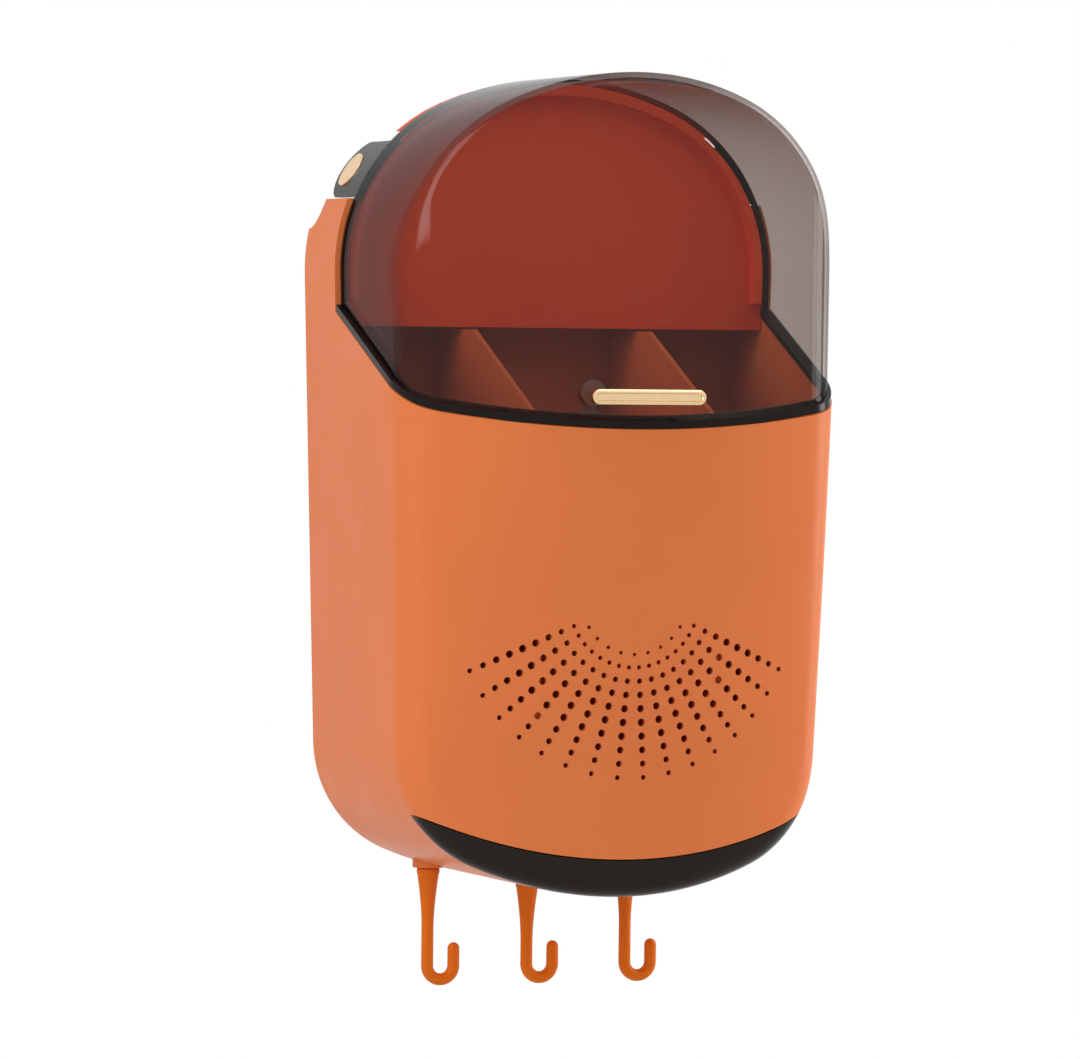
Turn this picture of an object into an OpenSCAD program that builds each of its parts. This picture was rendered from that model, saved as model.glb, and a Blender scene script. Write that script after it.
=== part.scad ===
// Wall-hung chopstick holder with a smoked flip lid, a drip tray and swivel hooks.
// +Z is up, the front faces -Y, and the origin is the middle of the pad face that meets the wall.
// Heights named *_h count up from the lowest point of the holder, and depths named *_d forward from its back.

/* [Holder] */
// Width across the side walls at the lid
body_w = 190; // [184:1:210]
// Height from the lowest point to the crown of the lid
body_h = 330; // [322:1:350]
// Depth from the back to the middle of the front, at the lid's rim
body_d = 140; // [134:1:156]
// Radius of the bowed front in plan
front_r = 230; // [215:1:300]
// Radius of the upright corners in plan
corner_r = 25; // [20:0.5:30]
// Wall thickness of the orange shell
wall = 2.4; // [2:0.1:3]
// Lean of the front face, which narrows the depth towards the foot
front_lean = 3.5; // [2.5:0.25:4]
// Draft of each side wall
side_draft = 1.7; // [1.3:0.1:2]
// Gap between the shell and the wall behind it
stand_off = 5; // [4.8:0.1:7]

/* [Outline] */
// Radius of the arch's shoulders
arch_r = 76; // [70:0.5:77]
// Height of the crown above the tops of the shoulder circles
arch_lift = 4; // [3:0.5:8]
// Radius of the foot's corners
foot_r = 50; // [46:0.5:52]
// Depth of the sole below the bottoms of the corner circles
foot_lift = 8; // [6:0.5:10]

/* [Lid] */
// Wall thickness of the lid
lid_wall = 2.2; // [1.8:0.1:2.4]
// Step of the lid's face behind the face of its rim and of the shell
lid_inset = 2; // [1.6:0.1:2.4]
// Height of the lid's flared rim
lid_rim = 2.8; // [2:0.2:4]
// Width of the lid's flared rim
lid_rim_w = 5; // [4.6:0.1:6]
// Depth of the lid's rear edge
lid_back_d = 40; // [39:0.5:43]
// Height of the rim at the middle of the front
rim_front_h = 186.5; // [180:0.5:194]
// Rise of the rim towards the back, per unit of depth
rim_slope = 0.45; // [0.4:0.01:0.5]
// Gap between the lid's rim and the shell
rim_gap = 0.6; // [0.5:0.1:1]

/* [Hinge] */
// Height of the hinge pins
pivot_h = 290; // [288:0.5:292]
// Depth of the hinge pins
pivot_d = 17; // [16.5:0.25:18]
// Radius of the hinge pins
pin_r = 2.5; // [2:0.1:3]
// Radius of the lid's ears round the pins
ear_r = 11.5; // [11:0.25:12]
// Thickness of the lid's ears
ear_t = 3; // [2.6:0.1:3.4]
// Thickness of the shell's hinge lugs
lug_t = 4; // [3:0.25:5]
// Distance of a lug's outer face from the holder's side
lug_in = 31; // [29:0.5:33]
// Radius of the shell's hinge lugs
lug_r = 8; // [7:0.25:9]
// Radius of the brass caps
cap_r = 7.75; // [7:0.25:8.25]
// Thickness of the brass caps
cap_t = 1.6; // [1.4:0.1:2]
// Thickness of the washer between an ear's boss and its lug
washer_t = 0.8; // [0.6:0.1:1]

/* [Handle] */
// Length of the brass bar
bar_l = 48; // [40:1:60]
// Height of the brass bar
bar_h = 6.2; // [6.2:0.4:7]
// Thickness of the brass bar
bar_t = 3.6; // [3:0.1:4.4]
// Distance of the bar's face in front of the lid
bar_reach = 11; // [10.5:0.25:13]
// Height of the bar's middle above the rim's front
bar_up = 13; // [12:0.5:16]
// Distance between the bar's two posts
post_pitch = 34; // [28:1:36]
// Radius of a post
post_r = 2.4; // [2.2:0.1:2.8]

/* [Compartments] */
// Distance of a divider from the middle
divider_x = 38; // [34:0.5:44]
// Thickness of a divider
divider_t = 2; // [1.6:0.1:2.4]
// Thickness of the drain grid
grid_t = 2; // [1.6:0.1:2.4]
// Width of a drain slot
slot_w = 3; // [2:0.1:3.4]
// Distance between drain slots
slot_pitch = 11; // [9:0.5:14]

/* [Back panel] */
// Thickness of the arched back panel
panel_t = 4; // [3.4:0.1:4.4]
// Depth of the panel's front lip
lip_l = 7; // [6:0.5:8]
// Width of the panel's front lip
lip_w = 3; // [2.4:0.1:4]

/* [Drip tray] */
// Distance of a tip of the tray's crescent front from the holder's side
tray_tip_in = 12.4; // [11.6:0.2:14]
// Height of the crescent's upper edge at the middle
tray_mid_h = 15.7; // [15:0.1:17]
// Wall thickness of the tray
tray_wall = 1.8; // [1.5:0.1:2.2]
// Depth of the tray's rear end
tray_back_d = 28; // [26:1:34]

/* [Perforated fan] */
// Height of the fan's centre
fan_h = 120; // [112:1:128]
// Rays in the fan
fan_rays = 16; // [10:1:18]
// Angle between the first and the last ray
fan_sweep = 132; // [110:1:140]
// Radius of the first full ring of holes
fan_r0 = 27.8; // [26.8:0.2:30]
// Distance between rings of holes
ring_pitch = 5.5; // [5.2:0.05:5.8]
// Radius of the short inner ring
inner_ring_r = 22.6; // [21:0.2:23]
// Radius of a hole in the innermost and the outermost ring
hole_r_min = 0.8; // [0.7:0.05:0.95]
// Radius of a hole in the widest ring
hole_r_max = 1.6; // [1.3:0.05:1.7]

/* [Hooks] */
// Distance between neighbouring hooks
hook_pitch = 43.3; // [40:0.5:48]
// Depth of the hooks
hook_d = 13; // [12:0.25:14]
// Radius of a hook's stem
stem_r = 2.5; // [2.1:0.1:2.8]
// Radius of a hook's collar
collar_r = 4.75; // [4.4:0.05:5.2]
// Length of the taper below the collar
collar_l = 22; // [18:1:24]
// Radius of the hook's bend, to the middle of the stem
bend_r = 5.7; // [5.4:0.1:7]
// Drop of a hook below the lowest point of the holder
hook_drop = 44; // [42:1:52]
// Height of a hook's tip above its lowest point
tip_up = 17.7; // [15:0.2:20]

/* [Wall plate] */
// Width of the wall plate
plate_w = 84; // [80:1:100]
// Height of the wall plate
plate_h = 46; // [40:1:60]
// Thickness of the wall plate
plate_t = 3.4; // [3:0.1:3.4]
// Thickness of the adhesive pad
pad_t = 1.3; // [1:0.1:1.4]
// Height of the plate's middle above the lowest point of the holder
plate_up = 200; // [190:1:210]
// Distance between the two mushroom studs
stud_pitch = 60; // [56:1:64]
// Radius of a stud's neck
stud_r = 3; // [2.5:0.1:3.2]
// Radius of a stud's head
head_r = 5.5; // [5:0.1:6]
// Travel that frees the studs from the keyholes
lift = 12; // [12:0.5:14]
// Distance between the plate's two wall-screw holes
screw_pitch = 24; // [20:1:28]
// Radius of the wall-screw holes
screw_hole_r = 2.2; // [1.8:0.1:2.6]

/* [Clearances] */
// Radial clearance of a shaft that turns in a bore
run_fit = 0.06; // [0.04:0.01:0.08]
// Clearance between seated pieces
seat_gap = 0.3; // [0.25:0.05:0.4]
// Clearance round the sliding tray
slide_gap = 0.5; // [0.4:0.05:0.6]

/* [Hidden] */
$fn = 96;
far = 600;
// Flats along a corner, the crown and the bowed front
corner_steps = 12;
crown_steps = 5;
bow_steps = 8;
half_w = body_w / 2;
base_z = -plate_up;
arch_rise = arch_r + arch_lift;
foot_rise = foot_r + foot_lift;
spring_h = body_h - arch_rise;
// Centres of the arch: the shoulder circle, and the crown circle that touches both shoulders
arch_x = half_w - arch_r;
crown_r = (arch_x * arch_x + arch_rise * arch_rise - arch_r * arch_r) / (2 * (arch_rise - arch_r));
crown_h = body_h - crown_r;
arch_turn = atan2(spring_h - crown_h, arch_x);
// Centres of the foot, whose corner circle touches the drafted side wall
foot_x = arch_x + (arch_r - foot_r + (foot_rise - spring_h) * sin(side_draft)) / cos(side_draft);
sole_r = (foot_x * foot_x + foot_rise * foot_rise - foot_r * foot_r) / (2 * (foot_rise - foot_r));
foot_turn = atan2(sole_r - foot_rise, foot_x);
// Centre of an upright corner in plan, inside the bowed front
corner_x = half_w - corner_r;
bow_d = body_d - front_r;
corner_d = bow_d + sqrt(pow(front_r - corner_r, 2) - corner_x * corner_x);
corner_turn = atan2(corner_d - bow_d, corner_x);
// The rim plane at a depth
function rim_h(d) = rim_front_h + rim_slope * (body_d - d);
// Depth of the front face at a distance x from the middle, for an inset t
function front_d(x, t) = bow_d + sqrt(pow(front_r - t, 2) - x * x);
// Depth lost to the lean at a height
function lean_d(h) = (rim_front_h - h) * tan(front_lean);
// Height of the sole at a distance x from the middle
function sole_h(x) = sole_r - sqrt(sole_r * sole_r - x * x);
// Circle that cuts the tray's crescent
tray_tip_x = half_w - tray_tip_in;
tip_h = foot_rise - sqrt(pow(foot_r, 2) - pow(tray_tip_x - foot_x, 2));
tray_arc_r = (pow(tray_tip_x, 2) + pow(tip_h - tray_mid_h, 2)) / (2 * (tip_h - tray_mid_h));
tray_arc_h = tray_mid_h + tray_arc_r;
// Top of the shell behind the lid
shoulder_h = 266;
ear_gap = 0.5;
deck_h = pivot_h - ear_r - ear_gap;
deck_d = 11;
panel_back_d = lid_back_d - panel_t - 4;
panel_foot_h = rim_h(lid_back_d) - 5;
flange_t = 2.4;
flange_l = 16;
panel_screw_x = 30;
ear_step = lid_inset + ear_t + 2 * seat_gap + run_fit;
ear_angle = asin((pivot_h - spring_h) / (arch_r - lid_inset));
ear_x = arch_x + (arch_r - lid_inset) * cos(ear_angle);
lug_x = half_w - lug_in;
pin_in_x = lug_x - lug_t - 0.4;
pin_l = 17;
screw_r = 1.5;
screw_head_r = 2.8;
screw_head_t = 1.6;
boss_h = 9;
boss_r = 6.5;
boss_drop = 1.6;
clip_t = 1.2;
neck_r = stem_r;
screw_reach = 6;
// Drain slots: their length, the pitch of their rows and the depth where the first row starts
slot_l = 24;
row_pitch = 34;
first_row_d = 16;
rib_t = 1.6;
rib_out = 3;

// Placing helpers: the holder's frame starts at the back face of the shell, depths grow to the front
module at(x, d, h) {
    translate([x, -stand_off - d, base_z + h]) children();
}

// Extrudes an x-height outline forward from depth d0 to d1
module forward(d0, d1) {
    at(0, d0, 0) rotate([90, 0, 0]) linear_extrude(d1 - d0) children();
}

// Extrudes a depth-height profile across the whole width, or from x0 to x1
module across(x0, x1) {
    translate([x0, -stand_off, base_z]) rotate([90, 0, 90]) linear_extrude(x1 - x0) children();
}

// A disc or rod along X, centred on x0..x1
module rod_x(x0, x1, d, h, r) {
    at(x0, d, h) rotate([0, 90, 0]) cylinder(r = r, h = x1 - x0);
}

// A rod that points forward
module rod_y(x, d0, d1, h, r) {
    at(x, d0, h) rotate([90, 0, 0]) cylinder(r = r, h = d1 - d0);
}

module both_sides() {
    children();
    mirror([1, 0, 0]) children();
}

// Points along an arc, after its first point
function arc_points(cx, cy, r, a0, a1, n) =
    [for (i = [1:n]) let (a = a0 + (a1 - a0) * i / n) [cx + r * cos(a), cy + r * sin(a)]];
function mirrored(points) = [for (i = [len(points) - 1:-1:0]) [-points[i][0], points[i][1]]];

// Front outline of the holder, drawn in by t: arch, drafted sides and rounded foot
module outline(t) {
    right = concat(
        arc_points(0, crown_h, crown_r - t, 90, arch_turn, crown_steps),
        arc_points(arch_x, spring_h, arch_r - t, arch_turn, -side_draft, corner_steps),
        [[foot_x + (foot_r - t) * cos(side_draft), foot_rise - (foot_r - t) * sin(side_draft)]],
        arc_points(foot_x, foot_rise, foot_r - t, -side_draft, -foot_turn, corner_steps),
        arc_points(0, sole_r, sole_r - t, -foot_turn, -90, crown_steps));
    left = mirrored(right);
    polygon(concat(right, [for (i = [1:len(left) - 1]) left[i]], [[0, crown_h + crown_r - t]]));
}

// Plan of the holder, drawn in by t: straight sides, round corners and bowed front, depths along +Y
module plan(t) {
    right = concat([[0, body_d - t]],
        arc_points(0, bow_d, front_r - t, 90, corner_turn, bow_steps),
        arc_points(corner_x, corner_d, corner_r - t, corner_turn, 0, corner_steps),
        [[half_w - t, -half_w]]);
    left = mirrored(right);
    polygon(concat(right, [for (i = [0:len(left) - 2]) left[i]]));
}

// Upright column with the holder's plan
module column(t) {
    translate([0, -stand_off, -far]) mirror([0, 1, 0]) linear_extrude(2 * far) plan(t);
}

// The same column, leaned about the rim's front so that the foot is less deep
module leaned_column(t) {
    translate([0, -stand_off - body_d, base_z + rim_front_h]) rotate([front_lean, 0, 0])
        translate([0, body_d, -far]) mirror([0, 1, 0]) linear_extrude(2 * far) plan(t);
}

// Solid of the shell, drawn in by t at the outline and the front
module shell_solid(t) {
    intersection() {
        forward(0, body_d + 40) outline(t);
        leaned_column(t);
    }
}

// Solid of the lid, drawn in by t
module lid_solid(t) {
    intersection() {
        forward(-30, body_d + 20) outline(t);
        column(t);
    }
}

// Profile of the space that the lid fills: above the rim plane raised by up, and in front of depth d
module lid_space(d, up) {
    across(-far, far) polygon([[-d, rim_h(d) + up], [-d, far], [-far, far], [-far, rim_h(far) + up]]);
}

// Hollow curve from the shoulder at the back up to the deck, drawn in by t
function shoulder_points(t) = [for (i = [0:6]) let (a = 15 * i)
    [-t - deck_d * sin(a), deck_h - t - (deck_h - shoulder_h) * cos(a)]];

// Profile of the shell below the rim, with the shoulder and the deck behind the lid
module shell_space() {
    edge_d = lid_back_d - 1.2;
    across(-far, far) polygon(concat([[0, -far]], shoulder_points(0),
        [[-edge_d, deck_h], [-edge_d, rim_h(edge_d)], [-far, rim_h(far)], [-far, -far]]));
}

// Profile of the hollow inside the shell
module shell_hollow() {
    across(-far, far) polygon(concat([[-wall, -far]], shoulder_points(wall),
        [[-panel_back_d + seat_gap, deck_h - wall], [-panel_back_d + seat_gap, far], [-far, far],
            [-far, -far]]));
}

// Crescent below the tray's arc, lowered by gap
module crescent(gap) {
    difference() {
        translate([-far / 2, -50]) square([far, 50 + tip_h + 20]);
        translate([0, tray_arc_h]) circle(tray_arc_r + gap, $fn = 200);
        translate([-far / 2, tip_h - gap]) square([far, far]);
    }
}

// Curved band above the tray's arc, between two offsets
module floor_band(up0, up1) {
    intersection() {
        translate([-half_w, -50]) square([body_w, 50 + tip_h + up1]);
        difference() {
            translate([0, tray_arc_h]) circle(tray_arc_r - up0, $fn = 200);
            translate([0, tray_arc_h]) circle(tray_arc_r - up1, $fn = 200);
        }
    }
}

// Radius of a hole in ring i, widest a little past the middle of the fan
rings = 9;
function hole_r(i) = hole_r_min + (hole_r_max - hole_r_min) * sin(180 * (i + 0.6) / (rings + 0.6));

// Drills one hole of the fan through the front wall
module fan_hole(r, a, hr) {
    x = r * sin(a);
    h = fan_h - r * cos(a);
    rod_y(x, front_d(x, 0) - lean_d(h) - 8, front_d(x, 0) - lean_d(h) + 4, h, hr);
}

module fan() {
    for (i = [0:rings - 1], k = [0:fan_rays - 1])
        fan_hole(fan_r0 + i * ring_pitch, -fan_sweep / 2 + k * fan_sweep / (fan_rays - 1), hole_r(i));
    for (k = [0:8]) fan_hole(inner_ring_r, -fan_sweep / 2 + (k + 0.5) * fan_sweep / 9, hole_r_min);
}

// Keyhole in the back wall: the neck rests at its top end, and the head passes at its lower end
module keyhole(x) {
    slack = 0.2;
    rod_y(x, -1, wall + 1, plate_up, stud_r + slack);
    rod_y(x, -1, wall + 1, plate_up - lift, head_r + 0.6);
    at(x - stud_r - slack, wall + 1, plate_up - lift) cube([2 * (stud_r + slack), wall + 2, lift]);
}

// Inside boss that a hook's stem turns in
module hook_boss(x) {
    at(x, hook_d, sole_h(abs(x)) - boss_drop) cylinder(r = boss_r, h = boss_h);
}

module hook_bore(x) {
    at(x, hook_d, -10) cylinder(r = neck_r + run_fit, h = 40);
}

module body_shell() {
    color("#d9713d") difference() {
        union() {
            difference() {
                intersection() {
                    shell_solid(0);
                    shell_space();
                }
                intersection() {
                    shell_solid(wall);
                    shell_hollow();
                }
            }
            // Ledges that carry the drain grid at the back and at the front
            intersection() {
                shell_solid(wall / 2);
                union() {
                    forward(wall / 2, wall + 4) floor_band(0.6, 2.6);
                    difference() {
                        forward(body_d / 2, body_d) floor_band(0.6, 2.6);
                        leaned_column(wall + 4);
                    }
                }
            }
            // Hinge lugs that stand on the deck
            both_sides() rod_x(lug_x - lug_t, lug_x, pivot_d, pivot_h, lug_r);
            both_sides() at(lug_x - lug_t, pivot_d + lug_r, deck_h - wall / 2)
                cube([lug_t, 2 * lug_r, pivot_h - deck_h + wall / 2]);
            for (i = [-1:1]) hook_boss(i * hook_pitch);
            // Ribs that hold the dividers
            both_sides() for (s = [-1, 1]) divider_rib(s);
        }
        // The tray's mouth, cut through the front wall
        difference() {
            forward(body_d / 2, body_d + 10) crescent(0);
            leaned_column(wall + 0.8);
        }
        fan();
        both_sides() keyhole(stud_pitch / 2);
        both_sides() rod_x(lug_x - lug_t - 1, lug_x + 1, pivot_d, pivot_h, pin_r + run_fit);
        for (i = [-1:1]) hook_bore(i * hook_pitch);
        both_sides() at(panel_screw_x, panel_back_d - flange_l / 2, deck_h - wall - 1)
            cylinder(r = screw_r + run_fit, h = wall + 2);
    }
}

// One of the paired ribs on the back wall beside a divider, which end below the heads of the studs
module divider_rib(s) {
    off = s * (divider_t / 2 + seat_gap + rib_t / 2);
    foot_h = tip_h + 6;
    top_h = plate_up - lift - head_r - 2;
    at(divider_x + off - rib_t / 2, wall + rib_out, foot_h) cube([rib_t, rib_out + 1, top_h - foot_h]);
}

module back_panel() {
    color("#a8431f") {
        difference() {
            union() {
                // Plate between the side walls, below the ears
                intersection() {
                    forward(panel_back_d, panel_back_d + panel_t) outline(wall + seat_gap);
                    at(-half_w, far / 2, panel_foot_h) cube([body_w, far, deck_h - 0.6 - panel_foot_h]);
                }
                // Arched plate inside the ears
                intersection() {
                    forward(panel_back_d, panel_back_d + panel_t) outline(ear_step);
                    at(-half_w, far / 2, deck_h - 1) cube([body_w, far, far]);
                }
                // Rim of the arch above the ears
                intersection() {
                    forward(panel_back_d, panel_back_d + panel_t) outline(lid_inset + 0.4);
                    at(-half_w, far / 2, pivot_h + ear_r + 4) cube([body_w, far, far]);
                }
                // Front lip that reaches inside the lid
                intersection() {
                    difference() {
                        forward(panel_back_d + panel_t - 0.01, panel_back_d + panel_t + lip_l)
                            outline(ear_step);
                        forward(panel_back_d, panel_back_d + panel_t + lip_l + 1) outline(ear_step + lip_w);
                    }
                    at(-half_w, far / 2, rim_h(lid_back_d) + 6) cube([body_w, far, far]);
                }
                // Flange that lies on the deck
                at(-lug_x + lug_t + 4, panel_back_d + 0.01, deck_h)
                    cube([2 * (lug_x - lug_t - 4), flange_l, flange_t]);
            }
            both_sides() at(panel_screw_x, panel_back_d - flange_l / 2, deck_h - 1)
                cylinder(r = screw_r + 0.2, h = flange_t + 2);
        }
    }
}

module back_panel_screws() {
    color("silver") both_sides() {
        at(panel_screw_x, panel_back_d - flange_l / 2, deck_h - screw_reach)
            cylinder(r = screw_r, h = screw_reach + flange_t + 0.5);
        at(panel_screw_x, panel_back_d - flange_l / 2, deck_h + flange_t)
            cylinder(r = screw_head_r, h = screw_head_t);
    }
}

// Ear of the lid: a curved plate that carries on the arch to the pin, and the boss behind it
module ear() {
    difference() {
        union() {
            intersection() {
                difference() {
                    lid_solid(lid_inset);
                    lid_solid(lid_inset + ear_t);
                }
                union() {
                    rod_x(lug_x, half_w, pivot_d, pivot_h, ear_r);
                    at(lug_x, lid_back_d + 0.5, pivot_h - ear_r + 0.4)
                        cube([half_w - lug_x, lid_back_d + 0.5 - pivot_d, 2 * ear_r - 0.8]);
                }
            }
            intersection() {
                rod_x(lug_x + washer_t + 0.2, half_w, pivot_d, pivot_h, lug_r - 1);
                lid_solid(lid_inset + 0.5);
            }
        }
        rod_x(lug_x - 1, lug_x + pin_l - 4, pivot_d, pivot_h, pin_r + 0.02);
        cap_seat(cap_r + 0.15, cap_t - 0.5, 10);
    }
}

// Places a disc of radius r on the ear, t deep into its face and up proud of it
module cap_seat(r, t, up) {
    at(ear_x, pivot_d, pivot_h) rotate([0, 90 - ear_angle, 0]) translate([0, 0, -t])
        cylinder(r = r, h = t + up);
}

module lid() {
    color("#3b2b26", 0.55) difference() {
        union() {
            intersection() {
                difference() {
                    lid_solid(lid_inset);
                    lid_solid(lid_inset + lid_wall);
                }
                lid_space(lid_back_d, rim_gap);
            }
            // Flared rim
            intersection() {
                difference() {
                    lid_solid(0);
                    lid_solid(lid_rim_w);
                }
                difference() {
                    lid_space(lid_back_d, rim_gap);
                    lid_space(-far, rim_gap + lid_rim);
                }
            }
            both_sides() ear();
        }
        for (s = [-1, 1])
            rod_y(s * post_pitch / 2, body_d - 10, body_d + 2, rim_front_h + bar_up, screw_r + 0.2);
    }
}

// Depth of the lid's face where the handle's posts stand
post_d = front_d(post_pitch / 2, lid_inset);

module handle_bar() {
    groove = 1;
    color("#d9b45a") difference() {
        union() {
            intersection() {
                at(0, post_d + bar_reach - bar_t / 2, rim_front_h + bar_up) rotate([0, 90, 0])
                    translate([0, 0, -bar_l / 2]) linear_extrude(bar_l) square([bar_h, bar_t], center = true);
                at(0, post_d + bar_reach + 5, rim_front_h + bar_up) rotate([-90, 0, 0]) linear_extrude(40)
                    union() {
                        square([bar_l - bar_h, bar_h], center = true);
                        both_sides() translate([bar_l / 2 - bar_h / 2, 0]) circle(bar_h / 2);
                    }
            }
            for (s = [-1, 1]) rod_y(s * post_pitch / 2, post_d + 0.15, post_d + bar_reach - bar_t / 2,
                rim_front_h + bar_up, post_r);
        }
        // Shallow groove along the bar's face
        at(0, post_d + bar_reach + groove, rim_front_h + bar_up) rotate([-90, 0, 0])
            linear_extrude(2 * groove)
            union() {
                square([bar_l - 8, bar_h / 3], center = true);
                both_sides() translate([bar_l / 2 - 4, 0]) circle(bar_h / 6);
            }
        for (s = [-1, 1]) rod_y(s * post_pitch / 2, post_d - 1, post_d + screw_reach,
            rim_front_h + bar_up, screw_r + 0.02);
    }
}

module handle_screws() {
    color("silver") for (s = [-1, 1]) {
        inner_d = front_d(post_pitch / 2 + screw_head_r, lid_inset + lid_wall);
        rod_y(s * post_pitch / 2, inner_d - screw_head_t - 0.2, inner_d - 0.2, rim_front_h + bar_up,
            screw_head_r);
        rod_y(s * post_pitch / 2, inner_d - 0.3, post_d + screw_reach - 1, rim_front_h + bar_up, screw_r);
    }
}

module hinge_pin() {
    color("silver") rod_x(pin_in_x, pin_in_x + pin_l, pivot_d, pivot_h, pin_r);
}

module hinge_pin_left() {
    mirror([1, 0, 0]) hinge_pin();
}

module hinge_pin_right() {
    hinge_pin();
}

module pin_cap() {
    color("#e0b070") cap_seat(cap_r, cap_t - 0.6, 0.6);
}

module pin_cap_left() {
    mirror([1, 0, 0]) pin_cap();
}

module pin_cap_right() {
    pin_cap();
}

module hinge_washer() {
    color("#2b2b2b") difference() {
        rod_x(lug_x + 0.1, lug_x + washer_t, pivot_d, pivot_h, pin_r + 2.4);
        rod_x(lug_x - 1, lug_x + 3, pivot_d, pivot_h, pin_r + run_fit + 0.1);
    }
}

module hinge_washer_left() {
    mirror([1, 0, 0]) hinge_washer();
}

module hinge_washer_right() {
    hinge_washer();
}

// Soft pads on the shell's rim that the lid closes on
module lid_bumpers() {
    pad_x = 52;
    pad_l = 10;
    color("#222222") both_sides() intersection() {
        difference() {
            shell_solid(0.4);
            shell_solid(wall - 0.2);
        }
        difference() {
            lid_space(-far, 0);
            lid_space(-far, rim_gap - 0.1);
        }
        at(pad_x - pad_l / 2, body_d + 20, 0) cube([pad_l, body_d / 2, far]);
    }
}

// Upright partition between compartments, with a flat top at the back and the rim's slope in front
module divider(x) {
    drop = 3;
    top_d = lid_back_d + 8;
    color("#c9602f") intersection() {
        translate([x - divider_t / 2, 0, 0]) across(0, divider_t) polygon([
            [-wall - seat_gap, -far], [-wall - seat_gap, panel_foot_h - 1], [-top_d, panel_foot_h - 1],
            [-far, panel_foot_h - 1 - rim_slope * (far - top_d) - drop], [-far, -far]]);
        shell_solid(wall + seat_gap);
        forward(0, far) difference() {
            translate([-half_w, 0]) square([body_w, body_h]);
            translate([0, tray_arc_h]) difference() {
                circle(far);
                circle(tray_arc_r - 2.6 - grid_t - seat_gap, $fn = 200);
            }
        }
    }
}

module divider_left() {
    divider(-divider_x);
}

module divider_right() {
    divider(divider_x);
}

// Curved floor of the compartments, with rows of drain slots
module drain_grid() {
    slots = floor((body_w - 70) / slot_pitch / 2);
    color("#b9562a") difference() {
        intersection() {
            forward(wall + seat_gap, body_d) floor_band(2.6 + 0.05, 2.6 + grid_t);
            shell_solid(wall + seat_gap);
        }
        for (i = [-slots:slots], row = [0:2])
            at(i * slot_pitch - slot_w / 2, first_row_d + row * row_pitch + slot_l, 0)
                cube([slot_w, slot_l, tip_h + 20]);
    }
}

module drip_tray() {
    color("#2a2624") {
        // Crescent front, flush with the shell
        difference() {
            intersection() {
                shell_solid(0);
                forward(body_d / 2, body_d + 10) crescent(slide_gap);
            }
            leaned_column(wall + 0.6);
        }
        // Pan that slides inside the shell
        difference() {
            intersection() {
                shell_solid(wall + slide_gap);
                forward(tray_back_d, body_d) crescent(slide_gap);
                leaned_column(wall + 0.6);
            }
            intersection() {
                forward(tray_back_d + tray_wall, body_d) outline(wall + slide_gap + tray_wall);
                leaned_column(wall + slide_gap + tray_wall);
            }
        }
    }
}

// Swivel hook that hangs from a boss in the sole: collar, tapered stem and upturned bend
module hook(x) {
    top_h = sole_h(abs(x)) - boss_drop - seat_gap;
    bend_h = -hook_drop + stem_r + bend_r;
    collar_t = 2;
    reach = 2 * (bend_r + stem_r);
    color("#d8620f") {
        // Shank in the boss
        at(x, hook_d, top_h - 0.01) cylinder(r = neck_r, h = boss_h + 2 * seat_gap + clip_t + 1);
        at(x, hook_d, top_h - collar_t) cylinder(r = collar_r, h = collar_t);
        at(x, hook_d, top_h - collar_t - collar_l) cylinder(r1 = stem_r, r2 = collar_r, h = collar_l);
        at(x, hook_d, bend_h) cylinder(r = stem_r, h = top_h - collar_t - collar_l - bend_h + 0.01);
        intersection() {
            at(x + bend_r, hook_d, bend_h) rotate([90, 0, 0]) rotate_extrude()
                translate([bend_r, 0]) circle(stem_r);
            at(x + bend_r - reach, hook_d + reach, bend_h - reach) cube([2 * reach, 2 * reach, reach]);
        }
        at(x + 2 * bend_r, hook_d, bend_h - 0.01)
            cylinder(r = stem_r, h = tip_up - 2 * stem_r - bend_r + 0.01);
        at(x + 2 * bend_r, hook_d, -hook_drop + tip_up - stem_r) sphere(r = stem_r);
    }
}

// Clip that holds a hook's shank above its boss
module hook_clip(x) {
    clip_h = sole_h(abs(x)) - boss_drop + boss_h + seat_gap;
    color("silver") difference() {
        at(x, hook_d, clip_h) cylinder(r = neck_r + 2.2, h = clip_t);
        at(x, hook_d, clip_h - 1) cylinder(r = neck_r + 0.02, h = clip_t + 2);
    }
}

module hook_left() {
    hook(-hook_pitch);
}

module hook_centre() {
    hook(0);
}

module hook_right() {
    hook(hook_pitch);
}

module hook_clip_left() {
    hook_clip(-hook_pitch);
}

module hook_clip_centre() {
    hook_clip(0);
}

module hook_clip_right() {
    hook_clip(hook_pitch);
}

// Rounded plate outline, w wide and h high, centred
module plate_outline(w, h, r) {
    square([w - 2 * r, h], center = true);
    square([w, h - 2 * r], center = true);
    for (sx = [-1, 1], sz = [-1, 1]) translate([sx * (w / 2 - r), sz * (h / 2 - r)]) circle(r);
}

module wall_holes() {
    both_sides() translate([screw_pitch / 2, 1, 0]) rotate([90, 0, 0])
        cylinder(r = screw_hole_r, h = stand_off + 2);
}

module wall_plate() {
    plate_face = pad_t + plate_t;
    neck_end = stand_off + wall + 0.4;
    color("#e8e4dc") {
        difference() {
            translate([0, -pad_t, 0]) rotate([90, 0, 0]) linear_extrude(plate_t)
                plate_outline(plate_w, plate_h, 8);
            wall_holes();
        }
        both_sides() translate([stud_pitch / 2, -plate_face + 0.01, 0]) rotate([90, 0, 0]) {
            cylinder(r = stud_r, h = neck_end - plate_face + 0.5);
            translate([0, 0, neck_end - plate_face]) cylinder(r = head_r, h = 2.2);
        }
    }
}

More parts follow.
